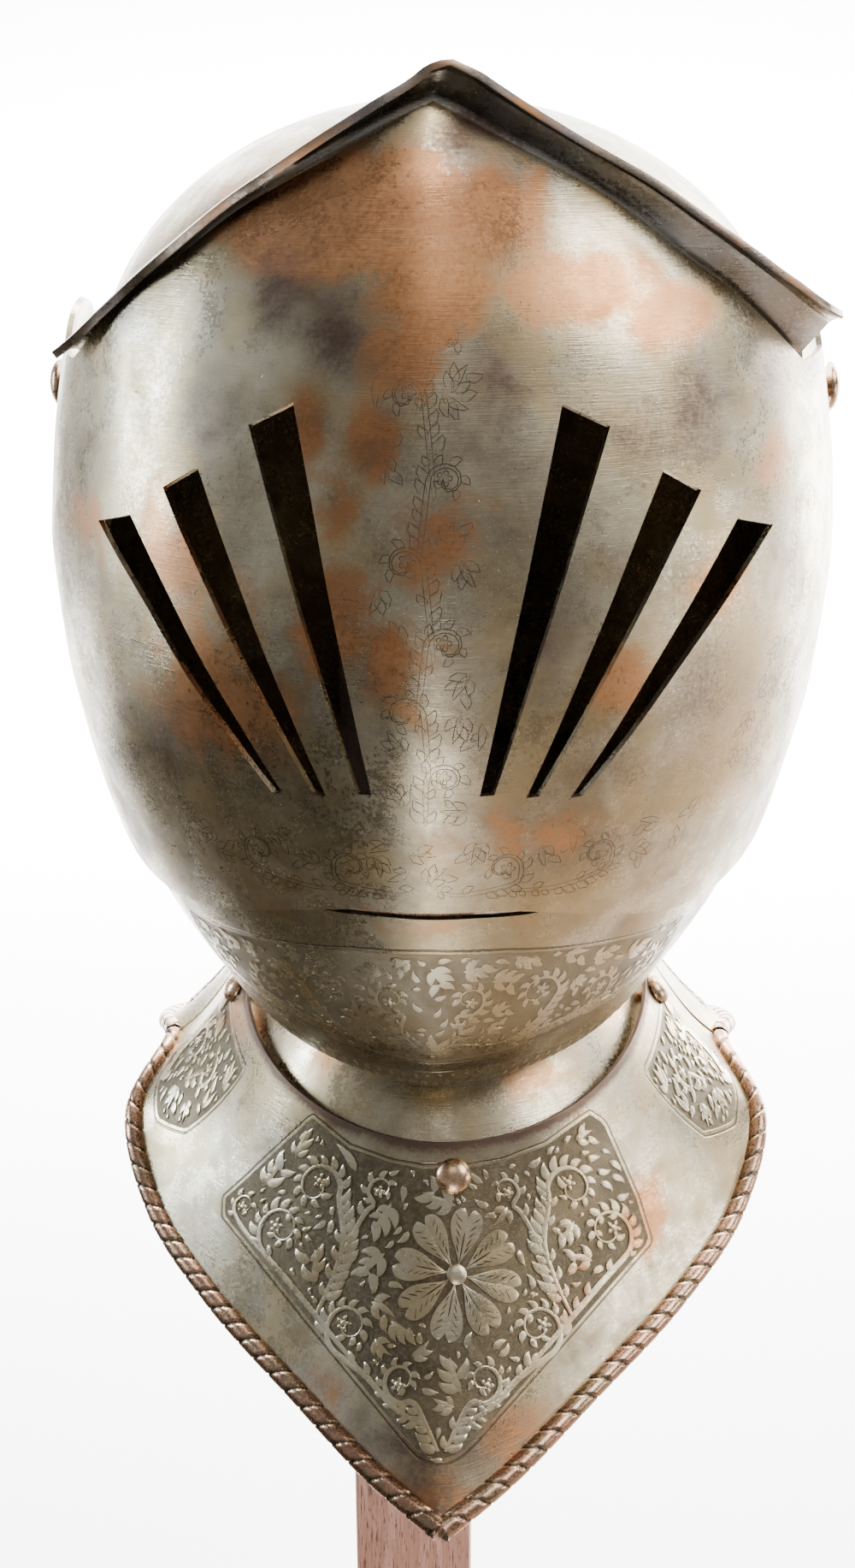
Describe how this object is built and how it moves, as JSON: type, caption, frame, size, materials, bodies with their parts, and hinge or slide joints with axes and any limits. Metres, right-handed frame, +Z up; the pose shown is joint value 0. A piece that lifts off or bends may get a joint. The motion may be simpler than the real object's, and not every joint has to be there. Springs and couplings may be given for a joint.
{
  "type": "close helmet with gorget on a wooden stand",
  "caption": "Close helmet with a slotted hinged visor, brow peak, bevor and roped gorget plates, held on a square wooden post with a base board.",
  "frame": {"origin": "middle of the stand base's underside", "axes": "+Z up along the post, the helmet's face looks along -Y, +X is to the right seen from the front"},
  "size_m": [0.2258, 0.2813, 0.6094],
  "materials": {
    "silver_plate": "worn silver plate over copper, stained and scratched",
    "brass": "rubbed, reddish brass",
    "oak": "planed and stained, satin"
  },
  "bodies": {
    "helmet": {"skull": "silver_plate", "bevor": "silver_plate", "hinge_pin_right": "brass", "hinge_pin_left": "brass", "neck_collar": "silver_plate", "gorget_front": "silver_plate", "gorget_back": "silver_plate", "gorget_rivet_front": "brass", "gorget_rivet_right": "brass", "gorget_rivet_back": "brass", "gorget_rivet_left": "brass", "stand_post": "oak", "stand_base": "oak", "stand_head_block": "oak"},
    "visor": {"visor": "silver_plate", "brow_peak": "silver_plate"}
  },
  "joints": [
    {"name": "visor_pivot", "type": "hinge", "parent": "helmet", "child": "visor", "pos_m": [0.011, 0.027, 0.526], "axis": [-1, 0, 0], "range_deg": [0, 60]}
  ]
}
